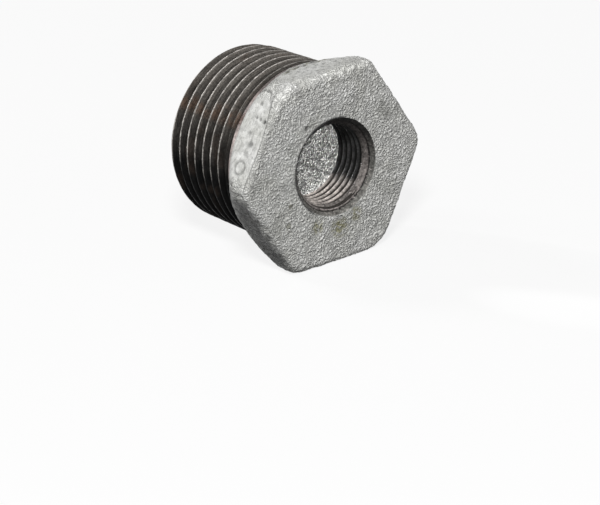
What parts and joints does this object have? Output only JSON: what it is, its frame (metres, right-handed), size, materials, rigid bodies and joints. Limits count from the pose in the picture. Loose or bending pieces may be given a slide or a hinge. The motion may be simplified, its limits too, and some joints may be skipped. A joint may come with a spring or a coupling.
{
  "type": "pipe reducing bushing",
  "caption": "Hexagon reducing bushing for iron pipe, with a taper male thread outside, a smaller parallel female thread inside and a cast hollow behind it.",
  "frame": {"origin": "middle of the hexagon's axis, halfway between the hexagon's face and the thread's tip", "axes": "+Y along the axis towards the tip of the male thread, -Y out of the hexagon's face, +Z square to one flat, with the opposite flat down"},
  "size_m": [0.0402, 0.029, 0.036],
  "materials": {
    "galvanised_iron": "hot-dip galvanised casting, grainy and matt grey, with dark oily cut threads"
  },
  "bodies": {
    "root": {"reducer_bushing": "galvanised_iron"}
  },
  "joints": []
}
